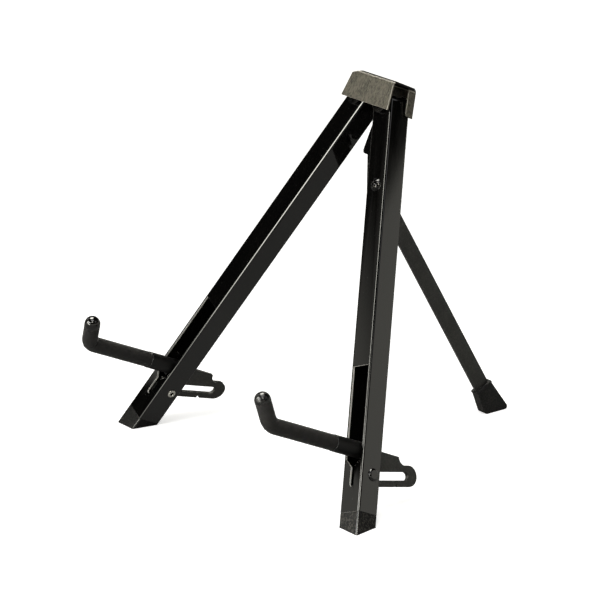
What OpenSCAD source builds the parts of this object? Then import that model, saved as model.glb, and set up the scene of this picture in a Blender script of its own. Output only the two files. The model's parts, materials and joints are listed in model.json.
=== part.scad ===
// Folding guitar stand.
// Two square-tube legs swing on pins inside a bent sheet head and lean back
// onto a flat rear bar, and two padded arms slide and fold on rivets in the legs.
// Millimetres, +Z up, arms toward -Y, legs spread along X.
// The origin is on the floor under the middle of the stand.

/* [Frame] */
// Backward lean of the leg frame from the vertical, in degrees
frame_lean = 25.5; // [23:0.5:28]
// Swing of each open leg away from the middle, in degrees
leg_splay = 22.4; // [18:0.2:26]
// Length of a leg axis from its pivot to the floor
leg_reach = 330; // [310:1:360]
// Gap between the two legs when they are folded together
folded_gap = 10; // [9:0.5:14]

/* [Leg tube] */
// Outside width of the square tube
tube_side = 20; // [19:0.5:22]
// Wall thickness of the square tube
tube_wall = 1.5; // [1.2:0.1:1.8]
// Outside corner radius of the square tube
tube_corner = 1.6; // [1:0.1:2]
// Height of the shoe below the tube's end, along the leg axis
shoe_h = 10; // [8:0.5:12]
// Length of the shoe's plug inside the tube
plug_h = 11.5; // [6:0.5:11.5]
// Distance of the buffer screw below the leg pivot
screw_drop = 65.5; // [60:0.5:70]
// Diameter of the buffer screw's head
screw_head_d = 10.5; // [9:0.5:12]
// Height of the buffer screw's head
screw_head_h = 3; // [2:0.5:4]
// Width of the cross recess in the screw's head
screw_recess_w = 1.2; // [1:0.1:1.6]
// Diameter of the buffer screw's shank
screw_d = 4; // [3:0.5:5]
// Diameter of the rear buffer
buffer_d = 8; // [7:0.5:10]
// Thickness of the rear buffer
buffer_h = 1.4; // [0.8:0.1:1.5]

/* [Slots] */
// Height of the slot rivet over the floor point, along the leg axis
rivet_up = 39.8; // [39.8:0.2:46]
// Distance of the slot rivet behind the leg axis
rivet_back = 2.1; // [1.5:0.1:2.5]
// Width of the front window that the arm swings through
window_w = 15.2; // [15.1:0.1:15.6]
// Top of the front window above the slot rivet
window_top = 82.7; // [82:0.1:90]
// Shoulder of the front window above the slot rivet
window_shoulder = 10.6; // [9:0.1:11]
// Height of the taper from the shoulder down to the groove
window_taper = 5.9; // [5:0.1:7]
// Bottom of the front groove below the slot rivet
groove_bottom = 10.2; // [10:0.1:11]
// Side play of the arm plate in the front groove
groove_play = 0.4; // [0.3:0.05:0.6]
// Side play of the arm plate in the rear slot
rear_slot_play = 0.7; // [0.4:0.05:1]
// Top of the rear slot above the slot rivet
rear_slot_top = 23; // [23:0.1:26]
// Bottom of the rear slot below the slot rivet
rear_slot_bottom = 17.8; // [17.4:0.1:18]

/* [Slot rivet and bush] */
// Diameter of the slot rivet's shank
rivet_d = 4; // [3:0.5:4]
// Diameter of the slot rivet's heads
rivet_head_d = 9.8; // [8:0.2:11]
// Height of the slot rivet's heads
rivet_head_h = 1.6; // [1:0.1:2]
// Wall of the bush's hub around the slot rivet
bush_wall = 1.2; // [1:0.1:1.3]
// Diameter of the bush's side flanges
bush_flange_d = 9.2; // [8.6:0.1:10]
// Side gap of the bush to the arm plate and to the tube
bush_gap = 0.2; // [0.1:0.05:0.3]

/* [Arm] */
// Height of the arm's axis over the slot rivet
arm_rise = 18.4; // [18:0.1:19]
// Diameter of the arm's steel rod
rod_d = 8; // [7:0.5:8]
// Gap between the rod's rear end and the leg's rear wall
rod_end_gap = 0.5; // [0.3:0.1:1]
// Reach of the arm from the leg's axis to its bend
arm_out = 95; // [80:1:110]
// Outward lean of the arm's tip from the leg's direction, in degrees
tip_lean = 28; // [15:1:40]
// Length of the arm's tip from the bend to its end
tip_l = 25.5; // [20:0.5:40]
// Bend radius of the arm's centre line
bend_r = 9.1; // [9:0.1:9.5]
// Inward turn of the arm where it leaves the leg, in degrees
toe_in = 2.2; // [0:0.1:2.3]
// Diameter of the foam sleeve and the end cap
pad_d = 12.6; // [12:0.1:13]
// Diameter of the collar
collar_d = 13; // [12:0.1:13.1]
// Start of the collar in front of the leg's axis
collar_start = 2.5; // [2.3:0.1:3]
// Length of the collar
collar_l = 29.5; // [20:0.5:40]
// Gap between the collar and the foam sleeve
sleeve_gap = 0.2; // [0.1:0.1:1]
// Length of the end cap's straight wall
cap_wall_l = 2.6; // [2:0.1:4]
// Height of the end cap's dome
cap_dome_h = 6; // [3:0.1:6.2]
// Depth of the rod's end inside the end cap
cap_socket = 2; // [1:0.1:2.5]

/* [Arm plate] */
// Thickness of the arm plate
plate_t = 3; // [2.5:0.1:3.2]
// Rise of the plate's slot toward its rear end, in degrees
slot_tilt = 11.6; // [10:0.2:12]
// Travel of the slot rivet along the plate's slot
slot_travel = 43; // [40:0.5:44]
// Width of plate above and below the slot
plate_rim = 4.9; // [4.5:0.1:5]
// Extra length of plate behind the slot
plate_tail = 4.8; // [4:0.1:6]
// Reach of the plate's foot in front of the slot rivet
plate_toe = 7.3; // [6:0.1:7.6]
// Height of the plate's hump above the arm's axis
hump_rise = 3.6; // [3:0.1:3.8]
// Length of the plate's hump behind the leg's axis
hump_back = 36.2; // [30:0.2:40]
// Radius of the hollow behind the hump
hump_fillet = 7; // [5:0.5:8]
// Height of the fillet's middle above the hump
hump_fillet_rise = 1.6; // [1:0.1:2]
// Distance of the edge notch behind the slot rivet
notch_back = 33.2; // [28:0.2:36]
// Width of the edge notch
notch_w = 3; // [2:0.2:4]
// Depth of the edge notch
notch_depth = 2; // [1.5:0.1:2.5]

/* [Head] */
// Thickness of the bent sheet
sheet_t = 1.5; // [1.2:0.1:1.8]
// Outside radius of the sheet's bends
sheet_bend = 3; // [2.2:0.1:4]
// Gap in front of the legs that the spacer washers fill
front_gap = 3.4; // [2:0.1:4]
// Gap behind the legs
rear_gap = 0.3; // [0.2:0.1:0.6]
// Height of the head above the leg pivots
head_above = 19; // [17:0.1:22]
// Depth of the head below the leg pivots
head_below = 3.9; // [3:0.1:6]
// Width of the head's front plate at its bottom edge
head_bottom_w = 56.5; // [54:0.5:62]
// Width of the head's front plate at its top edge
head_top_w = 49.6; // [46:0.2:56]
// Width of the corner cut on the front plate's left side
corner_cut_w = 9; // [4:0.5:12]
// Height of the corner cut on the front plate's left side
corner_cut_h = 3.6; // [2:0.1:5]
// Gap between an open leg and the side flange that stops it
stop_gap = 0.5; // [0.2:0.1:0.5]
// Lean of the side flanges toward the middle, in degrees
flange_lean = 17; // [15:0.1:22]
// Width of the side flanges
flange_w = 7.9; // [6:0.1:10]
// Corner radius of the side flanges
flange_corner = 3.5; // [2:0.1:5]
// Diameter of the leg pivot pins
pin_d = 8; // [6:0.5:9]
// Diameter of the pivot pins' rear heads
pin_head_d = 12; // [11:0.5:14]
// Height of the pivot pins' rear heads
pin_head_h = 2.5; // [1.5:0.1:3]
// Diameter of the spacer washers
spacer_d = 16; // [14:0.5:18]

/* [Hinge bracket] */
// Thickness of the bracket
bracket_t = 2.5; // [2:0.1:3]
// Width of the bracket's top beyond each leg pivot
bracket_side = 6.6; // [6.2:0.2:8]
// Top of the bracket above the leg pivots
bracket_above = 11.9; // [8:0.1:14]
// Bottom of the bracket's wide top below the leg pivots
bracket_below = 5.1; // [5:0.1:8]
// Distance of the tongue's left edge from the rear bar's middle
tongue_left = 20.9; // [18:0.1:23]
// Straight length of the tongue's left edge below the leg pivots
tongue_h = 37.1; // [34:0.1:40]
// Radius of the tongue's left corner
tongue_corner = 3.5; // [2:0.1:5]
// Width of the step beside the tongue's corner
step_w = 3.1; // [1:0.1:5]
// Distance of the rear bar's hinge below the leg pivots
hinge_drop = 63.9; // [60:0.1:68]
// Width of the ear around the hinge beyond the rear bar
ear_rim = 1.2; // [1:0.1:3]
// Length of the flange that rises from the ear along the bracket
flange_rise = 44; // [30:0.5:55]
// Distance of the stop lug from the hinge, along the open rear bar
stop_out = 12; // [10:0.1:15]
// Height of the stop lug
stop_h = 2.5; // [2:0.1:4]
// Length of the stop lug
stop_l = 6; // [4:0.2:8]

/* [Rear bar] */
// Distance of the rear bar from the middle of the stand, to the right
bar_x = 8.9; // [6:0.1:9]
// Thickness of the rear bar
bar_t = 3; // [2.5:0.1:3.2]
// Width of the rear bar
bar_w = 13.6; // [12:0.1:14]
// Gap between the rear bar and the bracket behind the legs
bar_gap = 2; // [1.5:0.1:3]
// Opening angle of the rear bar from the leg frame, in degrees
bar_open = 56; // [50:0.5:60]
// Diameter of the hinge rivet's shank
hinge_rivet_d = 5; // [4:0.5:6]
// Diameter of the hinge rivet's heads
hinge_head_d = 10; // [9:0.5:11]
// Height of the hinge rivet's heads
hinge_head_h = 2; // [1.5:0.1:2.2]
// Width of the boot along X
boot_x = 8; // [7.6:0.1:8.6]
// Width of the boot's rim across the bar
boot_rim_w = 16.4; // [15.4:0.1:17]
// Height of the boot's thin rim
boot_rim_h = 2; // [1.5:0.1:3]
// Step of the boot's rim over the boot's side
boot_lip = 0.3; // [0.2:0.05:0.6]
// Length of the boot along the bar
boot_l = 28; // [24:0.5:32]
// Length of the boot's sole on the floor
boot_sole = 24.6; // [24:0.2:28]
// Shift of the boot's sole behind the bar's axis
boot_shift = -1.5; // [-2:0.1:2]
// Radius of the boot's toe
boot_toe_r = 3; // [1:0.1:4]
// Radius of the boot's heel
boot_heel_r = 5.5; // [1:0.1:6]
// Rubber under the end of the rear bar, along the bar
boot_floor = 6; // [5:0.2:8]

/* [Hidden] */
$fn = 64;

right = 1;
left = -1;
fit = 0.05;
end_gap = 0.3;
bend_swell = 0.05;
bend_lap = 0.4;
through = 1;

tube_half = tube_side / 2;
bore_half = tube_half - tube_wall;
pivot_x = tube_half + folded_gap / 2;
pivot_up = leg_reach * cos(leg_splay);
foot_x = pivot_x + leg_reach * sin(leg_splay);

front_in = tube_half + front_gap;
front_out = front_in + sheet_t;
rear_in = tube_half + rear_gap;
rear_out = rear_in + sheet_t;
web_back = rear_out + bracket_t;
flange_out = tube_half + stop_gap + sheet_t;
flange_foot_x = pivot_x + head_below * tan(leg_splay) + flange_out / cos(leg_splay);

bar_right = bar_x + bar_t / 2;
bar_left = bar_x - bar_t / 2;
ear_left = bar_right + end_gap;
ear_right = ear_left + bracket_t;
ear_r = bar_w / 2 + ear_rim;
hinge_back = web_back + bar_gap + bar_w / 2;
hinge_up = pivot_up - hinge_drop;

arm_up = rivet_up + arm_rise;
rod_r = rod_d / 2;
pad_r = pad_d / 2;
collar_r = collar_d / 2;
turn_z = tube_half - tube_wall / 2;
rod_start = rod_end_gap - bore_half;
tip_turn = 90 - tip_lean;
bend_start = arm_out - bend_r * tan(tip_turn / 2);
tip_start = bend_r * tan(tip_turn / 2);
cap_start = tip_l - cap_wall_l - cap_dome_h;
sleeve_start = collar_start + collar_l + sleeve_gap;
plate_front = 2;

hub_r = rivet_d / 2 + bush_wall;
slot_w = 2 * (hub_r + fit);
plate_end_r = slot_w / 2 + plate_rim;
groove_w = plate_t + 2 * groove_play;
rear_slot_w = plate_t + 2 * rear_slot_play;

// Hinge of the rear bar, and the point where its axis meets the floor
bar_lean = bar_open - frame_lean;
hinge_y = hinge_up * sin(frame_lean) + hinge_back * cos(frame_lean);
hinge_z = hinge_up * cos(frame_lean) - hinge_back * sin(frame_lean);
bar_reach = hinge_z / cos(bar_lean);
bar_foot_y = hinge_y + hinge_z * tan(bar_lean);
boot_y = bar_foot_y + boot_shift;

// Foremost edge of the arm tips and rearmost edge of the boot
cap_edge = tip_l - cap_dome_h;
tip_out = turn_z + (arm_out - turn_z + cap_edge * sin(tip_lean)) * cos(toe_in);
tip_in = (arm_out - turn_z + cap_edge * sin(tip_lean)) * sin(toe_in);
tip_up = arm_up + cap_edge * cos(tip_lean);
tip_along = sin(tip_lean) * cos(toe_in) * cos(frame_lean)
    - cos(tip_lean) * cos(leg_splay) * sin(frame_lean)
    + sin(tip_lean) * sin(toe_in) * sin(leg_splay) * sin(frame_lean);
front_y = (tip_up * cos(leg_splay) - tip_in * sin(leg_splay)) * sin(frame_lean)
    - tip_out * cos(frame_lean) - pad_r * sqrt(1 - tip_along * tip_along);
rear_y = boot_y + boot_sole / 2;
middle_y = (front_y + rear_y) / 2;

paint = [0.05, 0.05, 0.055];
plate_paint = [0.09, 0.09, 0.09];
head_grey = [0.4, 0.39, 0.36];
steel = [0.45, 0.45, 0.46];
foam = [0.08, 0.08, 0.085];
hard_plastic = [0.06, 0.06, 0.065];
rubber = [0.12, 0.12, 0.12];

// Leaning plane of the legs: x to the right, y up the plane, z forward
module frame_plane() {
    translate([0, -middle_y, 0])
        rotate([90 - frame_lean, 0, 0])
            children();
}

// Same plane with its origin midway between the leg pivots
module head_place() {
    frame_plane()
        translate([0, pivot_up, 0])
            children();
}

// Axes of an open leg: x across, y up its axis from the floor, z forward
module leg_place(side) {
    frame_plane()
        translate([side * foot_x, 0, 0])
            rotate([0, 0, side * leg_splay])
                children();
}

// Side view of a leg: x forward, y up the leg, z to the left
module leg_side(side) {
    leg_place(side)
        rotate([0, -90, 0])
            children();
}

// Vertical side plane at the distance x to the right: x backward, y up
module floor_side(x) {
    translate([x, -middle_y, 0])
        rotate([90, 0, 90])
            children();
}

module rounded_square(size, corner) {
    square([size - 2 * corner, size], center = true);
    square([size, size - 2 * corner], center = true);
    for (x = [-1, 1], y = [-1, 1])
        translate([x * (size / 2 - corner), y * (size / 2 - corner)])
            circle(corner);
}

// Extrusion along the leg axis from the height bottom to the height top
module along_leg(bottom, top) {
    translate([0, bottom, 0])
        rotate([-90, 0, 0])
            linear_extrude(top - bottom)
                children();
}

module above_floor() {
    translate([0, 0, leg_reach])
        cube([2 * leg_reach, 2 * leg_reach, 2 * leg_reach], center = true);
}

// Outline of the tube in front view, with its top rounded about the pivot
module leg_outline() {
    translate([-tube_half, shoe_h])
        square([tube_side, leg_reach - shoe_h]);
    translate([0, leg_reach])
        circle(tube_half);
}

module window_outline() {
    groove_low = rivet_up - groove_bottom;
    shoulder = rivet_up + window_shoulder;
    translate([-window_w / 2, shoulder])
        square([window_w, window_top - window_shoulder]);
    polygon([[-window_w / 2, shoulder], [-groove_w / 2, shoulder - window_taper],
        [groove_w / 2, shoulder - window_taper], [window_w / 2, shoulder]]);
    translate([-groove_w / 2, groove_low + groove_w / 2])
        square([groove_w, shoulder - window_taper - groove_low]);
    translate([0, groove_low + groove_w / 2])
        circle(groove_w / 2);
}

module rear_slot_outline() {
    low = rivet_up - rear_slot_bottom;
    high = rivet_up + rear_slot_top;
    translate([-rear_slot_w / 2, low + rear_slot_w / 2])
        square([rear_slot_w, high - low - rear_slot_w / 2]);
    translate([0, low + rear_slot_w / 2])
        circle(rear_slot_w / 2);
}

module leg_tube(side) {
    leg_place(side)
        difference() {
            intersection() {
                along_leg(0, leg_reach + tube_side)
                    difference() {
                        rounded_square(tube_side, tube_corner);
                        square(2 * bore_half, center = true);
                    }
                translate([0, 0, -tube_side])
                    linear_extrude(2 * tube_side)
                        leg_outline();
            }
            translate([0, leg_reach, -tube_side])
                cylinder(d = pin_d + 2 * fit, h = 2 * tube_side);
            linear_extrude(tube_side)
                window_outline();
            translate([0, 0, -tube_side])
                linear_extrude(tube_side)
                    rear_slot_outline();
            rivet_bore();
            if (side == right)
                screw_bore();
        }
}

module rivet_bore() {
    translate([-tube_side, rivet_up, -rivet_back])
        rotate([0, 90, 0])
            cylinder(d = rivet_d + 2 * fit, h = 2 * tube_side);
}

module screw_bore() {
    translate([0, leg_reach - screw_drop, -tube_side])
        cylinder(d = screw_d + 2 * fit, h = 2 * tube_side);
}

module foot_shoe(side) {
    intersection() {
        leg_place(side)
            union() {
                along_leg(-tube_side, shoe_h)
                    rounded_square(tube_side, tube_corner);
                along_leg(0, shoe_h + plug_h)
                    square(2 * (bore_half - fit), center = true);
            }
        above_floor();
    }
}

module domed_head(d, h) {
    ball_r = (d * d / 4 + h * h) / (2 * h);
    intersection() {
        cylinder(d = d + 1, h = h + 1);
        translate([0, 0, h - ball_r])
            sphere(ball_r);
    }
}

module slot_rivet(side) {
    leg_place(side)
        translate([0, rivet_up, -rivet_back])
            rotate([0, 90, 0]) {
                cylinder(d = rivet_d, h = tube_side, center = true);
                for (end = [0, 1])
                    mirror([0, 0, end])
                        translate([0, 0, tube_half])
                            domed_head(rivet_head_d, rivet_head_h);
            }
}

module slot_bush(side) {
    leg_place(side)
        translate([0, rivet_up, -rivet_back])
            rotate([0, 90, 0])
                difference() {
                    union() {
                        cylinder(r = hub_r, h = 2 * (bore_half - bush_gap), center = true);
                        for (end = [0, 1])
                            mirror([0, 0, end])
                                translate([0, 0, plate_t / 2 + bush_gap])
                                    cylinder(d = bush_flange_d,
                                        h = bore_half - plate_t / 2 - 2 * bush_gap);
                    }
                    cylinder(d = rivet_d + 2 * fit, h = tube_side, center = true);
                }
}

module buffer_screw_body() {
    leg_place(right)
        translate([0, leg_reach - screw_drop, 0]) {
            translate([0, 0, -tube_half - buffer_h / 2])
                cylinder(d = screw_d, h = tube_side + buffer_h / 2);
            translate([0, 0, tube_half])
                difference() {
                    domed_head(screw_head_d, screw_head_h);
                    for (turn = [0, 90])
                        rotate([0, 0, turn + 45])
                            translate([0, 0, screw_head_h])
                                cube([screw_head_d / 2, screw_recess_w, screw_head_h], center = true);
                }
        }
}

module rear_buffer_body() {
    leg_place(right)
        translate([0, leg_reach - screw_drop, -tube_half - buffer_h])
            difference() {
                cylinder(d = buffer_d, h = buffer_h);
                translate([0, 0, buffer_h / 2 - fit])
                    cylinder(d = screw_d + 2 * fit, h = buffer_h);
            }
}

// Side view of an arm, turned inward where it passes the front wall
module arm_side(side) {
    leg_place(side)
        translate([0, 0, turn_z])
            rotate([0, -side * toe_in, 0])
                translate([0, 0, -turn_z])
                    rotate([0, -90, 0])
                        children();
}

// Round bar of radius r along the arm, in side view, a little stouter in its bend
module along_arm(r, start, end) {
    translate([start, arm_up, 0])
        rotate([0, 90, 0])
            cylinder(r = r, h = bend_start - start + bend_lap);
    translate([bend_start, arm_up + bend_r, 0])
        rotate([0, 0, -90])
            rotate_extrude(angle = tip_turn)
                translate([bend_r, 0])
                    circle(r + bend_swell);
    arm_tip(tip_start - bend_lap)
        cylinder(r = r, h = end - tip_start + bend_lap);
}

// Axis of the arm's tip, pointing to its end, from the given distance on
module arm_tip(distance) {
    translate([arm_out, arm_up, 0])
        rotate([0, 0, -tip_lean])
            translate([0, distance, 0])
                rotate([-90, 0, 0])
                    children();
}

module ring(outer_r, inner_r) {
    difference() {
        circle(outer_r);
        circle(inner_r);
    }
}

module arm_rod(side) {
    difference() {
        arm_side(side)
            along_arm(rod_r, rod_start, cap_start + cap_socket);
        leg_side(side)
            translate([rod_start - through, arm_up - rod_d, -plate_t / 2])
                cube([plate_front - rod_start + through, 2 * rod_d, plate_t]);
    }
}

module arm_collar(side) {
    arm_side(side)
        translate([collar_start, arm_up, 0])
            rotate([0, 90, 0])
                linear_extrude(collar_l)
                    ring(collar_r, rod_r + fit);
}

module arm_sleeve(side) {
    arm_side(side)
        difference() {
            along_arm(pad_r, sleeve_start, cap_start);
            along_arm(rod_r + fit, sleeve_start - through, cap_start + through);
        }
}

module arm_cap(side) {
    ball_r = (pad_r * pad_r + cap_dome_h * cap_dome_h) / (2 * cap_dome_h);
    arm_side(side)
        arm_tip(cap_start)
            difference() {
                rotate_extrude()
                    intersection() {
                        square([pad_r, cap_wall_l + cap_dome_h]);
                        translate([0, cap_wall_l + cap_dome_h - ball_r])
                            circle(ball_r);
                    }
                translate([0, 0, -through])
                    cylinder(r = rod_r + fit, h = cap_socket + fit + through);
            }
}

// Side outline of an arm plate: a slotted link with a hump that holds the rod
module plate_outline() {
    hump_low = rivet_up;
    hump_high = arm_up + hump_rise;
    difference() {
        union() {
            link_place() {
                translate([-slot_travel - plate_tail, -plate_end_r])
                    square([slot_travel + plate_tail + plate_toe, 2 * plate_end_r]);
                translate([-slot_travel - plate_tail, 0])
                    circle(plate_end_r);
            }
            translate([-hump_back, hump_low])
                square([hump_back + plate_front, hump_high - hump_low]);
            difference() {
                translate([-hump_back - hump_fillet, hump_high - hump_fillet])
                    square([hump_fillet, hump_fillet]);
                translate([-hump_back - hump_fillet, hump_high + hump_fillet_rise])
                    circle(hump_fillet);
            }
        }
        link_place() {
            translate([-slot_travel, -slot_w / 2])
                square([slot_travel, slot_w]);
            for (x = [-slot_travel, 0])
                translate([x, 0])
                    circle(slot_w / 2);
            translate([-notch_back, -plate_end_r])
                polygon([[-notch_w / 2, -through], [notch_w / 2, -through],
                    [notch_w / 4, notch_depth], [-notch_w / 4, notch_depth]]);
        }
    }
}

// Axes of the plate's slot in side view, with the origin on the rivet
module link_place() {
    translate([-rivet_back, rivet_up])
        rotate(-slot_tilt)
            children();
}

module arm_plate(side) {
    leg_side(side)
        translate([0, 0, -plate_t / 2])
            linear_extrude(plate_t)
                plate_outline();
}

// Front outline of the head, with its left corner cut
module head_front_outline() {
    polygon([[-head_bottom_w / 2, -head_below], [head_bottom_w / 2, -head_below],
        [head_top_w / 2, head_above], [corner_cut_w - head_top_w / 2, head_above],
        [-head_top_w / 2, head_above - corner_cut_h]]);
}

// Distance from the middle to the outside of a side flange at a given height
function flange_x(y) = flange_foot_x - (y + head_below) * tan(flange_lean);

// Outline between the side flanges, inset from their outside and from the top
module head_rear_outline(inset_x, inset_top) {
    top = head_above - inset_top;
    low = -head_below - inset_top;
    polygon([[inset_x - flange_x(low), low], [flange_x(low) - inset_x, low],
        [flange_x(top) - inset_x, top], [inset_x - flange_x(top), top]]);
}

// Side outline of the bent sheet: front plate, top and rear plate
module head_bend_outline() {
    difference() {
        bend_block(sheet_bend, 0);
        bend_block(sheet_bend - sheet_t, sheet_t);
    }
}

// Block with rounded top corners, inset from the sheet's outside
module bend_block(corner, inset) {
    x0 = -rear_out + inset;
    x1 = front_out - inset;
    top = head_above - inset;
    translate([x0, -head_below - inset])
        square([x1 - x0, top - corner + head_below + inset]);
    translate([x0 + corner, -head_below])
        square([x1 - x0 - 2 * corner, top + head_below]);
    for (x = [x0 + corner, x1 - corner])
        translate([x, top - corner])
            circle(corner);
}

// Side outline of the rear plate with the flanges that are bent forward from it
module head_rear_profile() {
    front = flange_w - rear_out;
    intersection() {
        bend_block(sheet_bend, 0);
        union() {
            translate([-rear_out, flange_corner - head_below])
                square([flange_w, head_above + head_below]);
            translate([-rear_out, -head_below])
                square([flange_w - flange_corner, flange_corner]);
            translate([front - flange_corner, flange_corner - head_below])
                circle(flange_corner);
        }
    }
}

module head_saddle() {
    rear_part = rear_out - sheet_bend - 0.5;
    inset_x = sheet_t / cos(flange_lean);
    color(head_grey)
        head_place()
            difference() {
                union() {
                    intersection() {
                        rotate([0, -90, 0])
                            linear_extrude(2 * head_bottom_w, center = true)
                                head_bend_outline();
                        translate([0, 0, -rear_part])
                            linear_extrude(rear_part + front_out + through)
                                head_front_outline();
                    }
                    intersection() {
                        rotate([0, -90, 0])
                            linear_extrude(2 * head_bottom_w, center = true)
                                head_rear_profile();
                        translate([0, 0, -rear_out - through])
                            linear_extrude(flange_w + 2 * through)
                                head_rear_outline(0, 0);
                    }
                }
                translate([0, 0, -rear_in])
                    linear_extrude(rear_in + tube_half)
                        head_rear_outline(inset_x, sheet_t);
                for (side = [right, left])
                    translate([side * pivot_x, 0, -rear_out - through])
                        cylinder(d = pin_d + 2 * fit, h = sheet_t + 2 * through);
            }
}

// Rear web of the bracket: a wide top on the leg pins and a tongue down to the ear
module web_outline() {
    ear_low = -hinge_drop - ear_r;
    side_x = pivot_x + bracket_side;
    tongue_x = bar_x - tongue_left;
    corner_x = tongue_x + tongue_corner;
    corner_y = -tongue_h;
    translate([-side_x, -bracket_below])
        square([2 * side_x, bracket_above + bracket_below]);
    polygon([[tongue_x, -bracket_below], [tongue_x, corner_y],
        [corner_x, corner_y - tongue_corner], [corner_x + step_w, corner_y - tongue_corner],
        [ear_left, ear_low], [ear_right, ear_low], [ear_right, -bracket_below]]);
    translate([corner_x, corner_y])
        circle(tongue_corner);
}

// Side outline of the ear: a flange with a round end and the lug of the stop
module ear_outline() {
    flange_top = -hinge_drop + flange_rise;
    difference() {
        union() {
            translate([-hinge_back, -hinge_drop])
                circle(ear_r);
            polygon([[-rear_out, -hinge_drop - ear_r], [-rear_out, flange_top],
                [-web_back, flange_top], [-hinge_back - ear_r * 0.8, -hinge_drop + ear_r * 0.6],
                [-hinge_back, -hinge_drop - ear_r]]);
            stop_place()
                polygon([[-ear_r, -bar_w / 2], [stop_l / 2, -bar_w / 4],
                    [stop_l / 2, end_gap + stop_h], [-stop_out, end_gap + stop_h]]);
        }
        translate([-hinge_back, -hinge_drop])
            circle(d = hinge_rivet_d + 2 * fit);
    }
}

// Middle of the open bar's upper edge at the stop: x along the bar, y away from it
module stop_place() {
    translate([-hinge_back, -hinge_drop])
        rotate(180 + 90 - bar_open)
            translate([stop_out, -bar_w / 2])
                mirror([0, 1])
                    children();
}

module hinge_bracket() {
    color(paint)
        head_place()
            difference() {
                union() {
                    translate([0, 0, -web_back])
                        linear_extrude(bracket_t)
                            web_outline();
                    translate([ear_right, 0, 0])
                        rotate([0, -90, 0])
                            linear_extrude(bracket_t)
                                ear_outline();
                    translate([ear_right, 0, 0])
                        rotate([0, -90, 0])
                            linear_extrude(bracket_t + end_gap + bar_t)
                                stop_place()
                                    translate([-stop_l / 2, end_gap])
                                        square([stop_l, stop_h]);
                }
                for (side = [right, left])
                    translate([side * pivot_x, 0, -web_back - through])
                        cylinder(d = pin_d + 2 * fit, h = bracket_t + 2 * through);
            }
}

module leg_pins() {
    color(steel)
        head_place()
            for (side = [right, left])
                translate([side * pivot_x, 0, -web_back]) {
                    cylinder(d = pin_d, h = web_back + front_in);
                    mirror([0, 0, 1])
                        domed_head(pin_head_d, pin_head_h);
                }
}

module leg_spacers() {
    color(steel)
        head_place()
            for (side = [right, left])
                translate([side * pivot_x, 0, tube_half + end_gap])
                    linear_extrude(front_gap - end_gap)
                        ring(spacer_d / 2, pin_d / 2 + fit);
}

module hinge_rivet() {
    color(steel)
        head_place()
            translate([0, -hinge_drop, -hinge_back])
                rotate([0, 90, 0]) {
                    translate([0, 0, bar_left - end_gap])
                        cylinder(d = hinge_rivet_d, h = ear_right - bar_left + end_gap);
                    translate([0, 0, ear_right])
                        domed_head(hinge_head_d, hinge_head_h);
                    translate([0, 0, bar_left - end_gap])
                        mirror([0, 0, 1])
                            domed_head(hinge_head_d, hinge_head_h);
                }
}

// Axes of the open rear bar in side view: y down the bar from its hinge
module bar_place(x) {
    floor_side(x)
        translate([hinge_y, hinge_z])
            rotate(180 + bar_lean)
                children();
}

module bar_outline(edge) {
    bar_l = bar_reach - boot_floor;
    difference() {
        union() {
            circle(bar_w / 2);
            translate([-bar_w / 2 - edge, 0])
                square([bar_w + 2 * edge, bar_l + edge]);
        }
        circle(d = hinge_rivet_d + 2 * fit);
    }
}

module rear_bar() {
    color(paint)
        bar_place(bar_left)
            linear_extrude(bar_t)
                bar_outline(0);
}

// Side outline of the boot from its rim to the flat sole on the floor
module boot_outline() {
    hull() {
        translate([hinge_y, hinge_z])
            rotate(180 + bar_lean)
                translate([boot_lip - boot_rim_w / 2, bar_reach - boot_l])
                    square([boot_rim_w - 2 * boot_lip, boot_rim_h]);
        translate([boot_y - boot_sole / 2 + boot_toe_r, boot_toe_r])
            circle(boot_toe_r, $fn = 32);
        translate([boot_y + boot_sole / 2 - boot_heel_r, boot_heel_r])
            circle(boot_heel_r, $fn = 32);
    }
}

module rear_boot() {
    color(rubber)
        difference() {
            union() {
                floor_side(bar_x - boot_x / 2)
                    linear_extrude(boot_x)
                        boot_outline();
                bar_place(bar_x - boot_x / 2 - boot_lip)
                    linear_extrude(boot_x + 2 * boot_lip)
                        translate([-boot_rim_w / 2, bar_reach - boot_l])
                            square([boot_rim_w, boot_rim_h]);
            }
            bar_place(bar_left - fit)
                linear_extrude(bar_t + 2 * fit)
                    bar_outline(fit);
        }
}

module right_leg_tube() {
    color(paint) leg_tube(right);
}

module left_leg_tube() {
    color(paint) leg_tube(left);
}

module right_foot_shoe() {
    color(rubber) foot_shoe(right);
}

module left_foot_shoe() {
    color(rubber) foot_shoe(left);
}

module right_slot_rivet() {
    color(steel) slot_rivet(right);
}

module left_slot_rivet() {
    color(steel) slot_rivet(left);
}

module buffer_screw() {
    color(steel) buffer_screw_body();
}

module rear_buffer() {
    color(rubber) rear_buffer_body();
}

module right_slot_bush() {
    color(hard_plastic) slot_bush(right);
}

module left_slot_bush() {
    color(hard_plastic) slot_bush(left);
}

module right_arm_rod() {
    color(paint) arm_rod(right);
}

module left_arm_rod() {
    color(paint) arm_rod(left);
}

module right_arm_plate() {
    color(plate_paint) arm_plate(right);
}

module left_arm_plate() {
    color(plate_paint) arm_plate(left);
}

module right_arm_collar() {
    color(hard_plastic) arm_collar(right);
}

module left_arm_collar() {
    color(hard_plastic) arm_collar(left);
}

module right_arm_sleeve() {
    color(foam) arm_sleeve(right);
}

module left_arm_sleeve() {
    color(foam) arm_sleeve(left);
}

module right_arm_cap() {
    color(hard_plastic) arm_cap(right);
}

module left_arm_cap() {
    color(hard_plastic) arm_cap(left);
}

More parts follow.
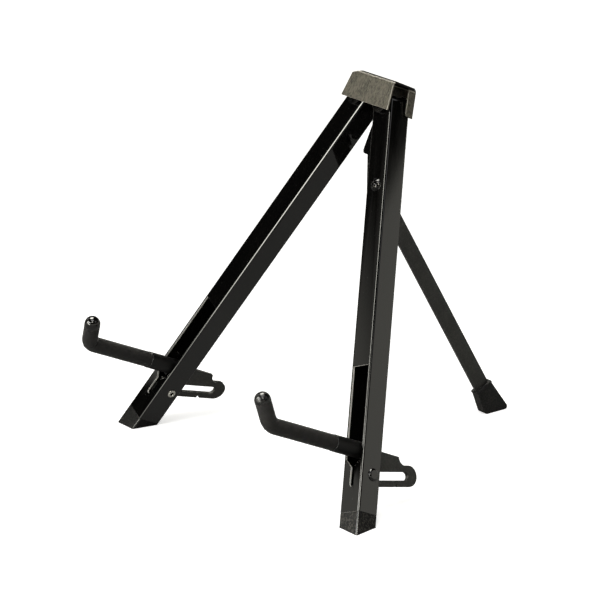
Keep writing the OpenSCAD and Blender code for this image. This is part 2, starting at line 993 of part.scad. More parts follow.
head_saddle();
hinge_bracket();
leg_pins();
leg_spacers();
hinge_rivet();
right_leg_tube();
right_foot_shoe();
right_slot_rivet();
buffer_screw();
rear_buffer();
left_leg_tube();
left_foot_shoe();
left_slot_rivet();
rear_bar();
rear_boot();
right_slot_bush();
left_slot_bush();
right_arm_rod();
right_arm_plate();
right_arm_collar();
right_arm_sleeve();
right_arm_cap();
left_arm_rod();
left_arm_plate();
left_arm_collar();
left_arm_sleeve();
left_arm_cap();
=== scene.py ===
"""Folding guitar stand: its finishes and soft pieces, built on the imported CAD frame.

Metres throughout. +Z is up, the arms point toward -Y and the right leg toward +X.
"""

from __future__ import annotations

import json
import logging
import math
from dataclasses import dataclass, field, replace
from enum import Enum
from typing import Callable, Iterable, Optional, Sequence, Union

import bpy
from mathutils import Matrix, Vector

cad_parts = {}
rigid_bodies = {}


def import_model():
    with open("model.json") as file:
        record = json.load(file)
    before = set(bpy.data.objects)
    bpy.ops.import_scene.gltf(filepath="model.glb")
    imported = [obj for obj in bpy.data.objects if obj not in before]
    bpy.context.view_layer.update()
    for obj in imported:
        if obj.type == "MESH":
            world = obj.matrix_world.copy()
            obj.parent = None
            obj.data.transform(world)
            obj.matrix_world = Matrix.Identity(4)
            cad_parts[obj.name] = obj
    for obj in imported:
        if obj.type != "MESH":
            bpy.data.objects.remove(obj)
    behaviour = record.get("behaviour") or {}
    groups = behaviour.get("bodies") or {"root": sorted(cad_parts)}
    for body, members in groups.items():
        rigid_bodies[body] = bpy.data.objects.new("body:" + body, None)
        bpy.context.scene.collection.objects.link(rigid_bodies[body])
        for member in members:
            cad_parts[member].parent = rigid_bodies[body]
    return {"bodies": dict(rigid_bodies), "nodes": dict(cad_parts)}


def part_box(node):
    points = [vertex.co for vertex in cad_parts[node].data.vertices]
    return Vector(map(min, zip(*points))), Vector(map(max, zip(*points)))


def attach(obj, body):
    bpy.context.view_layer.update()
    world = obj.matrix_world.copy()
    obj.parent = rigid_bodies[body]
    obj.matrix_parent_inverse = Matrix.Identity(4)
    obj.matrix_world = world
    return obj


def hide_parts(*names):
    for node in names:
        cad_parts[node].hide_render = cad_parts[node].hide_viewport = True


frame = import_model()

Object = bpy.types.Object
Tree = bpy.types.NodeTree
Socket = bpy.types.NodeSocket
Triple = tuple[float, float, float]

LOG = logging.getLogger("guitar_stand")
MM = 0.001
PHOTO_PIXELS = 600
SENSOR_MM = 36.0
# How far behind the leg's own axis the slot rivet sits, in millimetres.
RIVET_BACK = 2.1
# Radius of the small flat that closes the pole of a turned piece, in millimetres.
POLE_R = 0.4
# Corners of a CAD mesh that are nearer than this are one, in metres.
WELD_REACH = 2e-6
# Corners of a modelled mesh that are nearer than this are one, in metres.
MERGE_REACH = 1e-6
# Corners nearer to the floor than this stand on it, in metres.
FLOOR_REACH = 1e-5
# Edges of a CAD mesh that turn by more than this are eased, in degrees.
SHARP_EDGE = 32
# Segments across the eased edge of a piece with a soft outline.
SOFT_ROUNDS = 3
# A face whose normal has more than this along a direction counts as square to it,
# and one that has less than the second number counts as standing beside it.
SQUARE = 0.99
BESIDE = 0.5
# How much of the broad mottle is added to the fine grain of a colour.
MOTTLE_SHARE = 0.35
# Detail of the noise in a colour's grain, in its mottle, and in gloss and relief.
GRAIN_DETAIL, MOTTLE_DETAIL, FINE_DETAIL = 3.0, 2.0, 4.0
# The gloss wanders on a finer scale than the mottle, by this factor.
GLOSS_SCALE = 1.7
# The part of a noise's level that is stretched to a full range.
NOISE_RANGE = (0.3, 0.7)


def mm(*lengths: float) -> Vector:
    """A vector in metres from lengths in millimetres."""
    return Vector(lengths) * MM


def columns(*axes: Vector) -> Matrix:
    """A matrix with the given axes as its columns."""
    return Matrix(axes).transposed()


def box_middle(node: str) -> Vector:
    """Middle of a CAD node's box."""
    low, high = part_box(node)
    return (low + high) / 2


def linear_colour(code: str, alpha: float = 1.0) -> tuple[float, float, float, float]:
    """Turns an sRGB hex colour to the linear values that a shader takes.

    Args:
        code: the colour as "#rrggbb".
        alpha: the fourth channel.

    Returns:
        Linear red, green and blue, and alpha.
    """
    channels = [int(code[i : i + 2], 16) / 255 for i in (1, 3, 5)]
    red, green, blue = (
        c / 12.92 if c <= 0.04045 else ((c + 0.055) / 1.055) ** 2.4 for c in channels
    )
    return red, green, blue, alpha


def fresh_tree(owner: Union[bpy.types.Material, bpy.types.World]) -> Tree:
    """Gives a material or a world an empty node tree.

    Args:
        owner: the material or the world.

    Returns:
        Its node tree.
    """
    owner.use_nodes = True
    owner.node_tree.nodes.clear()
    return owner.node_tree


def add_node(
    tree: Tree,
    kind: str,
    settings: Optional[dict] = None,
    links: Optional[dict] = None,
) -> bpy.types.Node:
    """Adds one node to a tree.

    Args:
        tree: the node tree of a material or of the world.
        kind: Blender's name for the type of node.
        settings: properties by name, and socket values by the socket's name or number.
        links: the output that feeds each socket, by the socket's name or number.

    Returns:
        The new node.
    """
    node = tree.nodes.new(kind)
    for key, value in (settings or {}).items():
        if isinstance(key, str) and hasattr(node, key):
            setattr(node, key, value)
        else:
            node.inputs[key].default_value = value
    for key, source in (links or {}).items():
        tree.links.new(source, node.inputs[key])
    return node


def computed(tree: Tree, operation: str, *values: Union[float, Socket]) -> Socket:
    """Adds a math node.

    Args:
        tree: the node tree.
        operation: Blender's name for the operation.
        *values: its inputs in their order, each a number or another node's output.

    Returns:
        The result's output.
    """
    inputs = dict(enumerate(values))
    linked = {key: value for key, value in inputs.items() if isinstance(value, Socket)}
    fixed = {key: value for key, value in inputs.items() if key not in linked}
    node = add_node(
        tree, "ShaderNodeMath", {"operation": operation, **fixed}, linked
    )
    return node.outputs[0]


def ranged(
    tree: Tree,
    value: Socket,
    start: float,
    end: float,
    low: float = 0.0,
    high: float = 1.0,
    soft: bool = False,
) -> Socket:
    """Adds a node that turns one range of a value to another.

    Args:
        tree: the node tree.
        value: the output to read.
        start: the value that gives the low level.
        end: the value that gives the high level.
        low: the first level.
        high: the second level.
        soft: whether the run between them eases in and out.

    Returns:
        The level's output, held between both levels.
    """
    node = add_node(
        tree,
        "ShaderNodeMapRange",
        {
            "interpolation_type": "SMOOTHSTEP" if soft else "LINEAR",
            "From Min": start,
            "From Max": end,
            "To Min": low,
            "To Max": high,
        },
        {"Value": value},
    )
    return node.outputs[0]


def noise(tree: Tree, place: Socket, detail: float, scale: float = 1.0) -> Socket:
    """Adds a noise pattern.

    Args:
        tree: the node tree.
        place: the place at which the pattern is read.
        detail: how much finer noise is laid over the first.
        scale: how many times finer than the place's own unit the pattern is.

    Returns:
        The level's output.
    """
    node = add_node(
        tree,
        "ShaderNodeTexNoise",
        {"Scale": scale, "Detail": detail},
        {"Vector": place},
    )
    return node.outputs[0]


def mixed(
    tree: Tree, share: Socket, first: Union[str, Socket], second: str
) -> Socket:
    """Adds a mix of two colours.

    Args:
        tree: the node tree.
        share: the second colour's share.
        first: an sRGB hex colour or another node's output.
        second: an sRGB hex colour.

    Returns:
        The mixed colour's output.
    """
    settings = {"data_type": "RGBA", 7: linear_colour(second)}
    links = {0: share}
    if isinstance(first, str):
        settings[6] = linear_colour(first)
    else:
        links[6] = first
    return add_node(tree, "ShaderNodeMix", settings, links).outputs[2]


class Slot(Enum):
    """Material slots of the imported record."""

    HEAD = "grained_grey"
    TUBE = "gloss_black_paint"
    BAR = "satin_black_paint"
    STEEL = "black_steel"
    RUBBER = "black_rubber"
    PLASTIC = "matte_plastic"
    FOAM = "foam"
    CAP = "gloss_plastic"


class Side(Enum):
    """The two legs, with the sign of their X."""

    RIGHT = 1
    LEFT = -1

    @property
    def word(self) -> str:
        """The side's word in the names of nodes and bodies."""
        return self.name.lower()


@dataclass(frozen=True)
class Stance:
    """The angles at which the stand is set up."""

    lean: float = math.radians(25.5)
    splay: float = math.radians(22.4)
    toe_in: float = math.radians(2.2)
    bar_open: float = math.radians(56)

    @property
    def plane(self) -> Matrix:
        """Axes of the leaning plane: across, up the plane, forward.

        Returns:
            The axes, as the columns of a matrix.
        """
        up = Vector((0, math.sin(self.lean), math.cos(self.lean)))
        forward = Vector((0, -math.cos(self.lean), math.sin(self.lean)))
        return columns(Vector((1, 0, 0)), up, forward)

    def leg(self, side: Side) -> Matrix:
        """Axes of an open leg: across, up its axis, forward."""
        return self.plane @ Matrix.Rotation(side.value * self.splay, 3, "Z")

    def arm(self, side: Side) -> Matrix:
        """Axes of an arm: across, up the leg, forward along the arm."""
        return self.leg(side) @ Matrix.Rotation(-side.value * self.toe_in, 3, "Y")

    @property
    def rear_bar(self) -> Matrix:
        """Axes of the open rear bar: across, up the bar, forward.

        Returns:
            The axes, as the columns of a matrix.
        """
        tilt = self.bar_open - self.lean
        up = Vector((0, -math.sin(tilt), math.cos(tilt)))
        forward = Vector((0, -math.cos(tilt), -math.sin(tilt)))
        return columns(Vector((1, 0, 0)), up, forward)


STANCE = Stance()


@dataclass(frozen=True)
class Finish:
    """A finish of uneven colour, uneven gloss and a fine relief.

    Each pattern size is in millimetres across, up and forward on the piece.
    """

    name: str
    slot: Slot
    shade: str
    fleck: str
    gloss: tuple[float, float]
    grain: Triple
    relief: float
    ior: float = 1.5
    metallic: float = 0.0
    mottle: Triple = (25, 25, 25)
    fleck_share: tuple[float, float] = (0.35, 0.75)
    sheen: float = 0.0

    def make(self, axes: Matrix) -> bpy.types.Material:
        """Makes the material.

        Args:
            axes: the piece's own axes, as the columns of a matrix.

        Returns:
            The material, with its pattern turned to those axes.
        """
        material = bpy.data.materials.new(self.name)
        tree = fresh_tree(material)
        fine = self.coords(tree, axes, self.grain)
        broad = self.coords(tree, axes, self.mottle)
        bump = add_node(
            tree,
            "ShaderNodeBump",
            {"Strength": 1.0, "Distance": self.relief * MM},
            {"Height": self.height(tree, fine)},
        )
        shader = add_node(
            tree,
            "ShaderNodeBsdfPrincipled",
            {"Metallic": self.metallic, "IOR": self.ior, "Sheen Weight": self.sheen},
            {
                "Base Color": self.colour(tree, fine, broad),
                "Roughness": self.roughness(tree, fine, broad),
                "Normal": bump.outputs[0],
            },
        )
        add_node(
            tree, "ShaderNodeOutputMaterial", links={"Surface": shader.outputs[0]}
        )
        return material

    def coords(self, tree: Tree, axes: Matrix, size: Sequence[float]) -> Socket:
        """Place on the piece, counted in grains of the given size.

        Args:
            tree: the material's node tree.
            axes: the piece's own axes.
            size: size of one grain along each axis, in millimetres.

        Returns:
            The output that a pattern reads.
        """
        place = add_node(tree, "ShaderNodeTexCoord")
        turned = add_node(
            tree,
            "ShaderNodeMapping",
            {
                "vector_type": "TEXTURE",
                "Rotation": axes.to_euler(),
                "Scale": mm(*size),
            },
            {"Vector": place.outputs["Object"]},
        )
        return turned.outputs[0]

    def colour(self, tree: Tree, fine: Socket, broad: Socket) -> Socket:
        """Mixes the two colours by the fine grain over a broad mottle.

        Args:
            tree: the material's node tree.
            fine: the place on the piece, in fine grains.
            broad: the same place, in patches of the mottle.

        Returns:
            The colour's output.
        """
        grain = noise(tree, fine, GRAIN_DETAIL)
        cloud = noise(tree, broad, MOTTLE_DETAIL)
        both = computed(tree, "MULTIPLY_ADD", cloud, MOTTLE_SHARE, grain)
        start, end = (level + MOTTLE_SHARE / 2 for level in self.fleck_share)
        share = ranged(tree, both, start, end, soft=True)
        return mixed(tree, share, self.shade, self.fleck)

    def roughness(self, tree: Tree, fine: Socket, broad: Socket) -> Socket:
        """Lets the roughness wander between the two ends of the gloss."""
        cloud = noise(tree, broad, FINE_DETAIL, GLOSS_SCALE)
        return ranged(tree, cloud, *NOISE_RANGE, *self.gloss)

    def height(self, tree: Tree, fine: Socket) -> Socket:
        """Height of the fine relief."""
        return noise(tree, fine, FINE_DETAIL)


@dataclass(frozen=True)
class StovedEnamel(Finish):
    """Gloss enamel baked on drawn tube: a flowed skin with a few dull specks."""

    dust: float = 0.018
    dust_edge: float = 0.072
    dust_scale: float = 0.45
    dust_roughness: float = 0.5

    def roughness(self, tree: Tree, fine: Socket, broad: Socket) -> Socket:
        """Adds dull specks of dust that baked into the enamel.

        Args:
            tree: the material's node tree.
            fine: the place on the piece, in fine grains.
            broad: the same place, in patches of the mottle.

        Returns:
            The roughness's output.
        """
        clean = super().roughness(tree, fine, broad)
        specks = add_node(
            tree, "ShaderNodeTexVoronoi", {"Scale": self.dust_scale}, {"Vector": fine}
        )
        away = specks.outputs["Distance"]
        dull = ranged(tree, away, self.dust_edge, self.dust, 0, self.dust_roughness)
        total = computed(tree, "ADD", clean, dull)
        total.node.use_clamp = True
        return total


@dataclass(frozen=True)
class CoatedSheet(Finish):
    """Coat on bent sheet, with a painted highlight below the top fold and painted shade
    on folds.

    Its places are in millimetres up and forward on the leaning plane.
    """

    coat_top: float = 0.0
    coat_rear: float = 0.0
    fold_front: float = 0.0
    fold_drop: float = 1.3
    feather: float = 0.3
    # The painted highlight band below the top fold, and the black painted as shade on
    # the folds.
    worn_width: float = 0.7
    worn: str = "#9d998e"
    under: str = "#050505"

    def colour(self, tree: Tree, fine: Socket, broad: Socket) -> Socket:
        """Ends the coat at the folds with painted shade, and paints a highlight band
        below the top fold.

        Args:
            tree: the material's node tree.
            fine: the place on the piece, in fine grains.
            broad: the same place, in patches of the mottle.

        Returns:
            The colour's output.
        """
        coat = super().colour(tree, fine, broad)
        place = self.coords(tree, STANCE.plane, (1, 1, 1))
        parts = add_node(tree, "ShaderNodeSeparateXYZ", links={0: place})
        up, forward = parts.outputs[1:]
        inward = self.past(tree, forward, self.fold_front, -self.feather)
        height = computed(tree, "MULTIPLY_ADD", inward, self.fold_drop, up)
        # A painted highlight band just below the top fold.
        start = self.coat_top - self.worn_width - self.feather
        painted_highlight_share = self.past(tree, height, start, self.feather)
        # Painted shade above the top fold and behind the rear fold.
        above = self.past(tree, height, self.coat_top, self.feather)
        behind = self.past(tree, forward, self.coat_rear, -self.feather)
        painted_shade_share = computed(tree, "MAXIMUM", above, behind)
        return mixed(tree, painted_shade_share, mixed(tree, painted_highlight_share, coat, self.worn), self.under)

    def past(self, tree: Tree, length: Socket, start: float, run: float) -> Socket:
        """Share that rises from 0 to 1 over a short run past a start, in mm."""
        return ranged(tree, length, start, start + run)


@dataclass(frozen=True)
class CellFoam(Finish):
    """Skinned closed-cell foam: tiny open cells in a soft dull skin."""

    cell_depth: float = 0.6
    skin_scale: float = 0.5

    def height(self, tree: Tree, fine: Socket) -> Socket:
        """Small round cells, pressed in where the skin broke.

        Args:
            tree: the material's node tree.
            fine: the place on the piece, in cells.

        Returns:
            The height's output.
        """
        cells = add_node(
            tree, "ShaderNodeTexVoronoi", {"Scale": 1.0}, {"Vector": fine}
        )
        skin = noise(tree, fine, GRAIN_DETAIL, self.skin_scale)
        away = cells.outputs["Distance"]
        return computed(tree, "MULTIPLY_ADD", away, self.cell_depth, skin)


@dataclass(frozen=True)
class SparkedMould(Finish):
    """Rubber or plastic from a spark-eroded mould: an even sandy grain."""

    roundness: float = 0.6

    def height(self, tree: Tree, fine: Socket) -> Socket:
        """Sharp little hills of even size.

        Args:
            tree: the material's node tree.
            fine: the place on the piece, in hills.

        Returns:
            The height's output.
        """
        hills = add_node(
            tree,
            "ShaderNodeTexVoronoi",
            {"feature": "SMOOTH_F1", "Scale": 1.0, "Smoothness": self.roundness},
            {"Vector": fine},
        )
        return hills.outputs["Distance"]


# Gloss stoving enamel on drawn steel tube: near black, and a clear but slightly
# soft mirror of the pale studio, with a faint orange peel.
TUBE_ENAMEL = StovedEnamel(
    name="tube_enamel_black_stoved",
    slot=Slot.TUBE,
    shade="#050505",
    fleck="#0b0a09",
    gloss=(0.035, 0.065),
    grain=(1.6, 2.4, 1.6),
    relief=0.0015,
    mottle=(14, 70, 14),
)

# Grained grey coat on bent sheet: a warm dull grey with short upright streaks.
HEAD_COAT = CoatedSheet(
    name="head_coat_grey_grained",
    slot=Slot.HEAD,
    shade="#5d594e",
    fleck="#2b2924",
    ior=1.35,
    gloss=(0.36, 0.5),
    grain=(0.6, 2.2, 0.6),
    relief=0.03,
    mottle=(9, 16, 9),
    fleck_share=(0.36, 0.72),
    metallic=0.25,
)

# The same coat on its eased edges, painted lighter as a highlight.
HEAD_RIM = CoatedSheet(
    name="head_coat_rubbed_rim",
    slot=Slot.HEAD,
    shade="#928e83",
    fleck="#6b675d",
    gloss=(0.32, 0.42),
    grain=(0.8, 3.0, 0.8),
    relief=0.02,
    mottle=(5, 5, 5),
    metallic=0.35,
)

# Satin black coat on flat steel: dark grey with a soft, grainy sheen.
BAR_COAT = Finish(
    name="bar_coat_black_satin",
    slot=Slot.BAR,
    shade="#1d1d1b",
    fleck="#34332f",
    gloss=(0.48, 0.6),
    grain=(0.9, 0.9, 0.9),
    relief=0.014,
)

# Black-oxide steel fasteners: dark metal with rubbed, brighter high spots.
BLACK_OXIDE = Finish(
    name="fastener_steel_black_oxide",
    slot=Slot.STEEL,
    shade="#262628",
    fleck="#55524c",
    gloss=(0.1, 0.2),
    grain=(0.5, 0.5, 0.5),
    relief=0.01,
    metallic=1.0,
    mottle=(3, 3, 3),
    fleck_share=(0.45, 0.8),
)

# Head of the slot rivets: the tube's enamel over steel.
RIVET_ENAMEL = Finish(
    name="rivet_head_enamel_black",
    slot=Slot.STEEL,
    shade="#060606",
    fleck="#0f0e0d",
    gloss=(0.05, 0.1),
    grain=(1.2, 1.2, 1.2),
    relief=0.003,
    mottle=(3, 3, 3),
)

# Rolled lip of the slot rivets: the enamel cracked off, so the steel is bright.
ROLLED_STEEL = Finish(
    name="rivet_lip_rolled_steel",
    slot=Slot.STEEL,
    shade="#d6d4cd",
    fleck="#8d8a82",
    gloss=(0.22, 0.34),
    grain=(0.6, 0.6, 0.6),
    relief=0.006,
    metallic=0.6,
    mottle=(2, 2, 2),
)

# Cut faces of the punched windows: bare steel painted near white as a highlight, dulled
# by the punch's streaks.
CUT_EDGE_HIGHLIGHT = Finish(
    name="window_edge_cut_steel",
    slot=Slot.TUBE,
    shade="#f6f4ee",
    fleck="#d2cfc6",
    gloss=(0.4, 0.55),
    grain=(0.4, 0.4, 3),
    relief=0.006,
    mottle=(4, 4, 4),
)

# Moulded rubber of the right foot: charcoal, with a sandy grey grain.
FOOT_RUBBER = SparkedMould(
    name="foot_rubber_moulded_dusty",
    slot=Slot.RUBBER,
    shade="#070707",
    fleck="#3b3935",
    ior=1.3,
    gloss=(0.5, 0.65),
    grain=(1.4, 1.4, 1.4),
    relief=0.14,
    fleck_share=(0.48, 0.58),
)

# The same rubber on the left foot, painted darker as shade: nearly black.
DARK_FOOT_RUBBER = replace(
    FOOT_RUBBER,
    name="foot_rubber_moulded_clean",
    fleck="#1e1d1c",
    gloss=(0.6, 0.75),
    grain=(1.1, 1.1, 1.1),
    relief=0.06,
    ior=1.21,
)

# Boot and buffer: the same rubber, worn smoother, so it shines a little more.
BOOT_RUBBER = replace(DARK_FOOT_RUBBER, name="boot_rubber_moulded", ior=1.36)

# Corners of the moulded feet, polished by the floor and by hands.
RUBBER_EDGE = Finish(
    name="foot_rubber_polished_corner",
    slot=Slot.RUBBER,
    shade="#1b1b1a",
    fleck="#2b2a28",
    gloss=(0.1, 0.18),
    grain=(2, 2, 2),
    relief=0.003,
)

# Moulded matt plastic of the collars and bushes: even black with a fine grain.
COLLAR_PLASTIC = SparkedMould(
    name="collar_plastic_moulded",
    slot=Slot.PLASTIC,
    shade="#050505",
    fleck="#0b0a0a",
    gloss=(0.42, 0.54),
    grain=(0.45, 0.45, 0.45),
    relief=0.012,
    ior=1.34,
)

# Parting edges of the collars, where the moulded plastic is smooth.
COLLAR_RIM = Finish(
    name="collar_plastic_smooth_rim",
    slot=Slot.PLASTIC,
    shade="#0a0a0a",
    fleck="#141312",
    gloss=(0.12, 0.2),
    grain=(1, 1, 1),
    relief=0.003,
)

# Skinned closed-cell foam: soft dark grey without a clear highlight.
SLEEVE_FOAM = CellFoam(
    name="sleeve_foam_closed_cell",
    slot=Slot.FOAM,
    shade="#0c0a0a",
    fleck="#171411",
    gloss=(0.62, 0.78),
    grain=(0.55, 0.55, 0.55),
    relief=0.06,
    ior=1.4,
    mottle=(7, 7, 7),
    sheen=0.08,
)

# Dipped vinyl of the end caps: wet-looking black with round highlights.
CAP_VINYL = Finish(
    name="cap_vinyl_dipped",
    slot=Slot.CAP,
    shade="#070707",
    fleck="#100f0e",
    gloss=(0.07, 0.13),
    grain=(2.5, 2.5, 2.5),
    relief=0.006,
    ior=1.52,
    mottle=(5, 5, 5),
)

# The same vinyl on the right arm, handled more: its shine has gone dull.
DULL_VINYL = replace(CAP_VINYL, name="cap_vinyl_dulled", gloss=(0.24, 0.34))


def deselect_all() -> None:
    """Leaves edit mode and deselects every object."""
    if bpy.context.object and bpy.context.object.mode != "OBJECT":
        bpy.ops.object.mode_set(mode="OBJECT")
    bpy.ops.object.select_all(action="DESELECT")


def select_vertices(obj: Object, wanted: Callable[[Vector], bool]) -> None:
    """Selects the vertices of a mesh in edit mode by their place.

    Args:
        obj: the mesh object, in edit mode.
        wanted: says whether the vertex at a place is selected.
    """
    bpy.ops.mesh.select_all(action="DESELECT")
    bpy.ops.object.mode_set(mode="OBJECT")
    for vertex in obj.data.vertices:
        vertex.select = wanted(vertex.co)
    bpy.ops.object.mode_set(mode="EDIT")
    bpy.ops.mesh.select_mode(type="VERT")


def finish_mesh() -> None:
    """Merges doubles, closes the ends, points faces outwards and leaves edit mode."""
    bpy.ops.mesh.select_all(action="SELECT")
    bpy.ops.mesh.remove_doubles(threshold=MERGE_REACH)
    bpy.ops.mesh.fill_holes(sides=0)
    bpy.ops.mesh.select_all(action="SELECT")
    bpy.ops.mesh.normals_make_consistent(inside=False)
    bpy.ops.object.mode_set(mode="OBJECT")


def apply_place() -> None:
    """Applies the active piece's place, turn and size to its mesh."""
    bpy.ops.object.transform_apply(location=True, rotation=True, scale=True)


def settle(obj: Object, axes: Matrix, origin: Vector) -> None:
    """Moves a finished mesh to its place and applies that place to it.

    Args:
        obj: the object, modelled at the origin.
        axes: where its own axes point, as the columns of a matrix.
        origin: where its own origin goes.
    """
    obj.matrix_world = Matrix.Translation(origin) @ axes.to_4x4()
    bpy.ops.object.select_all(action="DESELECT")
    obj.select_set(True)
    bpy.context.view_layer.objects.active = obj
    apply_place()


def apply_modifiers(obj: Object) -> None:
    """Applies each modifier of the active object in its order."""
    for modifier in list(obj.modifiers):
        bpy.ops.object.modifier_apply(modifier=modifier.name)


def start_ring(name: str, radius: float, height: float, around: int) -> Object:
    """Adds an open ring about Z and goes into edit mode with it selected.

    Args:
        name: the new piece's name.
        radius: the ring's radius.
        height: its height on the Z axis.
        around: its number of vertices.

    Returns:
        The ring's object, at the origin.
    """
    deselect_all()
    bpy.ops.mesh.primitive_circle_add(vertices=around, radius=radius)
    ring = bpy.context.object
    ring.name = ring.data.name = name
    bpy.ops.object.mode_set(mode="EDIT")
    bpy.ops.mesh.select_mode(type="VERT")
    bpy.ops.mesh.select_all(action="SELECT")
    bpy.ops.transform.translate(value=(0, 0, height))
    return ring


def extrude_ring(move: Sequence[float]) -> None:
    """Extrudes the selected ring by a move."""
    bpy.ops.mesh.extrude_region_move(TRANSFORM_OT_translate={"value": tuple(move)})


def stretch(factors: Sequence[float], about: Sequence[float]) -> None:
    """Scales the selection about a point."""
    bpy.ops.transform.resize(value=tuple(factors), center_override=tuple(about))


def ease(
    obj: Object, name: str, width: float, rounds: int, degrees: float
) -> bpy.types.Modifier:
    """Adds a bevel over the sharp edges of a piece.

    Args:
        obj: the piece.
        name: the modifier's name.
        width: the bevel's width in millimetres.
        rounds: segments across it.
        degrees: the least angle of a sharp edge.

    Returns:
        The bevel modifier.
    """
    bevel = obj.modifiers.new(name, "BEVEL")
    bevel.width = width * MM
    bevel.segments = rounds
    bevel.limit_method = "ANGLE"
    bevel.angle_limit = math.radians(degrees)
    return bevel


def turned_piece(
    name: str, outline: Sequence[tuple[float, float]], around: int = 48
) -> Object:
    """Models a round piece about Z from its outline, as on a lathe.

    Args:
        name: the new piece's name.
        outline: radius and height of each step, from one pole to the other.
        around: number of vertices around the piece.

    Returns:
        The closed piece, in object mode.
    """
    radius, height = outline[0]
    piece = start_ring(name, radius, height, around)
    for new_radius, new_height in outline[1:]:
        extrude_ring((0, 0, new_height - height))
        growth = new_radius / radius
        stretch((growth, growth, 1), (0, 0, new_height))
        radius, height = new_radius, new_height
    bpy.ops.mesh.edge_face_add()
    finish_mesh()
    return piece


def smooth(degrees: float = 35) -> None:
    """Shades the active piece smooth except across edges sharper than an angle."""
    bpy.ops.object.shade_smooth_by_angle(angle=math.radians(degrees))


@dataclass
class Assembly:
    """A group of pieces that are built and dressed together."""

    def dress(
        self,
        node: str,
        finish: Finish,
        axes: Matrix,
        edge: float,
        rounds: int = 2,
        accent: Optional[Finish] = None,
        accented: Callable[[Vector, Vector], bool] = lambda place, normal: False,
        rim: Optional[Finish] = None,
    ) -> None:
        """Gives a CAD node its finish and eases its sharp edges.

        An eased edge takes the accent if a face beside it has the accent.

        Args:
            node: the node's name.
            finish: the finish of its surface.
            axes: the node's own axes.
            edge: width of the eased edges in millimetres.
            rounds: segments across an eased edge.
            accent: the finish of some of its faces.
            accented: says whether a face has that finish, by its middle and normal,
                both in the node's own axes and the middle in millimetres.
            rim: the finish of the eased edges, if it is another one.
        """
        obj = frame["nodes"][node]
        finishes = [part for part in (accent, finish, rim) if part]
        main = finishes.index(finish)
        obj.data.materials.clear()
        for part in finishes:
            obj.data.materials.append(part.make(axes))
        own = axes.transposed()
        for face in obj.data.polygons:
            face.use_smooth = True
            special = accented(own @ face.center / MM, own @ face.normal)
            face.material_index = 0 if special else main
        weld = obj.modifiers.new("join_corners", "WELD")
        weld.merge_threshold = WELD_REACH
        bevel = ease(obj, "eased_edges", edge, rounds, SHARP_EDGE)
        bevel.use_clamp_overlap = False
        bevel.material = finishes.index(rim) if rim else -1
        normals = obj.modifiers.new("even_shading", "WEIGHTED_NORMAL")
        normals.keep_sharp = True
        LOG.info("dressed %s in %s", node, finish.name)

    def place(
        self, obj: Object, finish: Finish, body: str, axes: Matrix, node: str
    ) -> None:
        """Dresses a modelled piece, hangs it on its body and hides what it replaces.

        Args:
            obj: the finished piece, at its place.
            finish: the finish of its surface, or of the faces of its first slot.
            body: the CAD body that it rides on.
            axes: the piece's own axes.
            node: the CAD node that it stands for.
        """
        obj.data.materials.append(finish.make(axes))
        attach(obj, body)
        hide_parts(node)
        LOG.info("built %s on %s: %d faces", obj.name, body, len(obj.data.polygons))


@dataclass
class Head(Assembly):
    """Bent sheet head with its hinge bracket, pins, spacers and hinge rivet."""

    sheet_edge: float = 0.5
    bracket_edge: float = 0.35
    fastener_edge: float = 0.2
    sheet_thick: float = 1.5
    fold_clear: float = 0.2
    # How far the painted shade reaches down from the top and forward from the rear, in
    # millimetres.
    bare_top: float = 1.2
    bare_rear: float = 1.2

    def build(self) -> None:
        """Dresses the pieces of the head."""
        axes = STANCE.plane
        sheet = frame["nodes"]["head_saddle"].data
        places = [axes.transposed() @ vertex.co / MM for vertex in sheet.vertices]
        front = max(place.z for place in places)
        ends = {
            "coat_top": max(place.y for place in places) - self.bare_top,
            "coat_rear": min(place.z for place in places) + self.bare_rear,
            "fold_front": front - self.sheet_thick - self.fold_clear,
        }
        # The grey coat stops short of the folds, where black is painted as shade, and a
        # highlight band is painted below the top fold.
        self.dress(
            "head_saddle",
            replace(HEAD_COAT, **ends),
            axes,
            self.sheet_edge,
            SOFT_ROUNDS,
            # The eased edges are painted lighter, as a highlight.
            rim=replace(HEAD_RIM, **ends),
        )
        self.dress("hinge_bracket", TUBE_ENAMEL, axes, self.bracket_edge)
        for node in ("leg_pins", "leg_spacers", "hinge_rivet"):
            self.dress(node, BLACK_OXIDE, axes, self.fastener_edge)


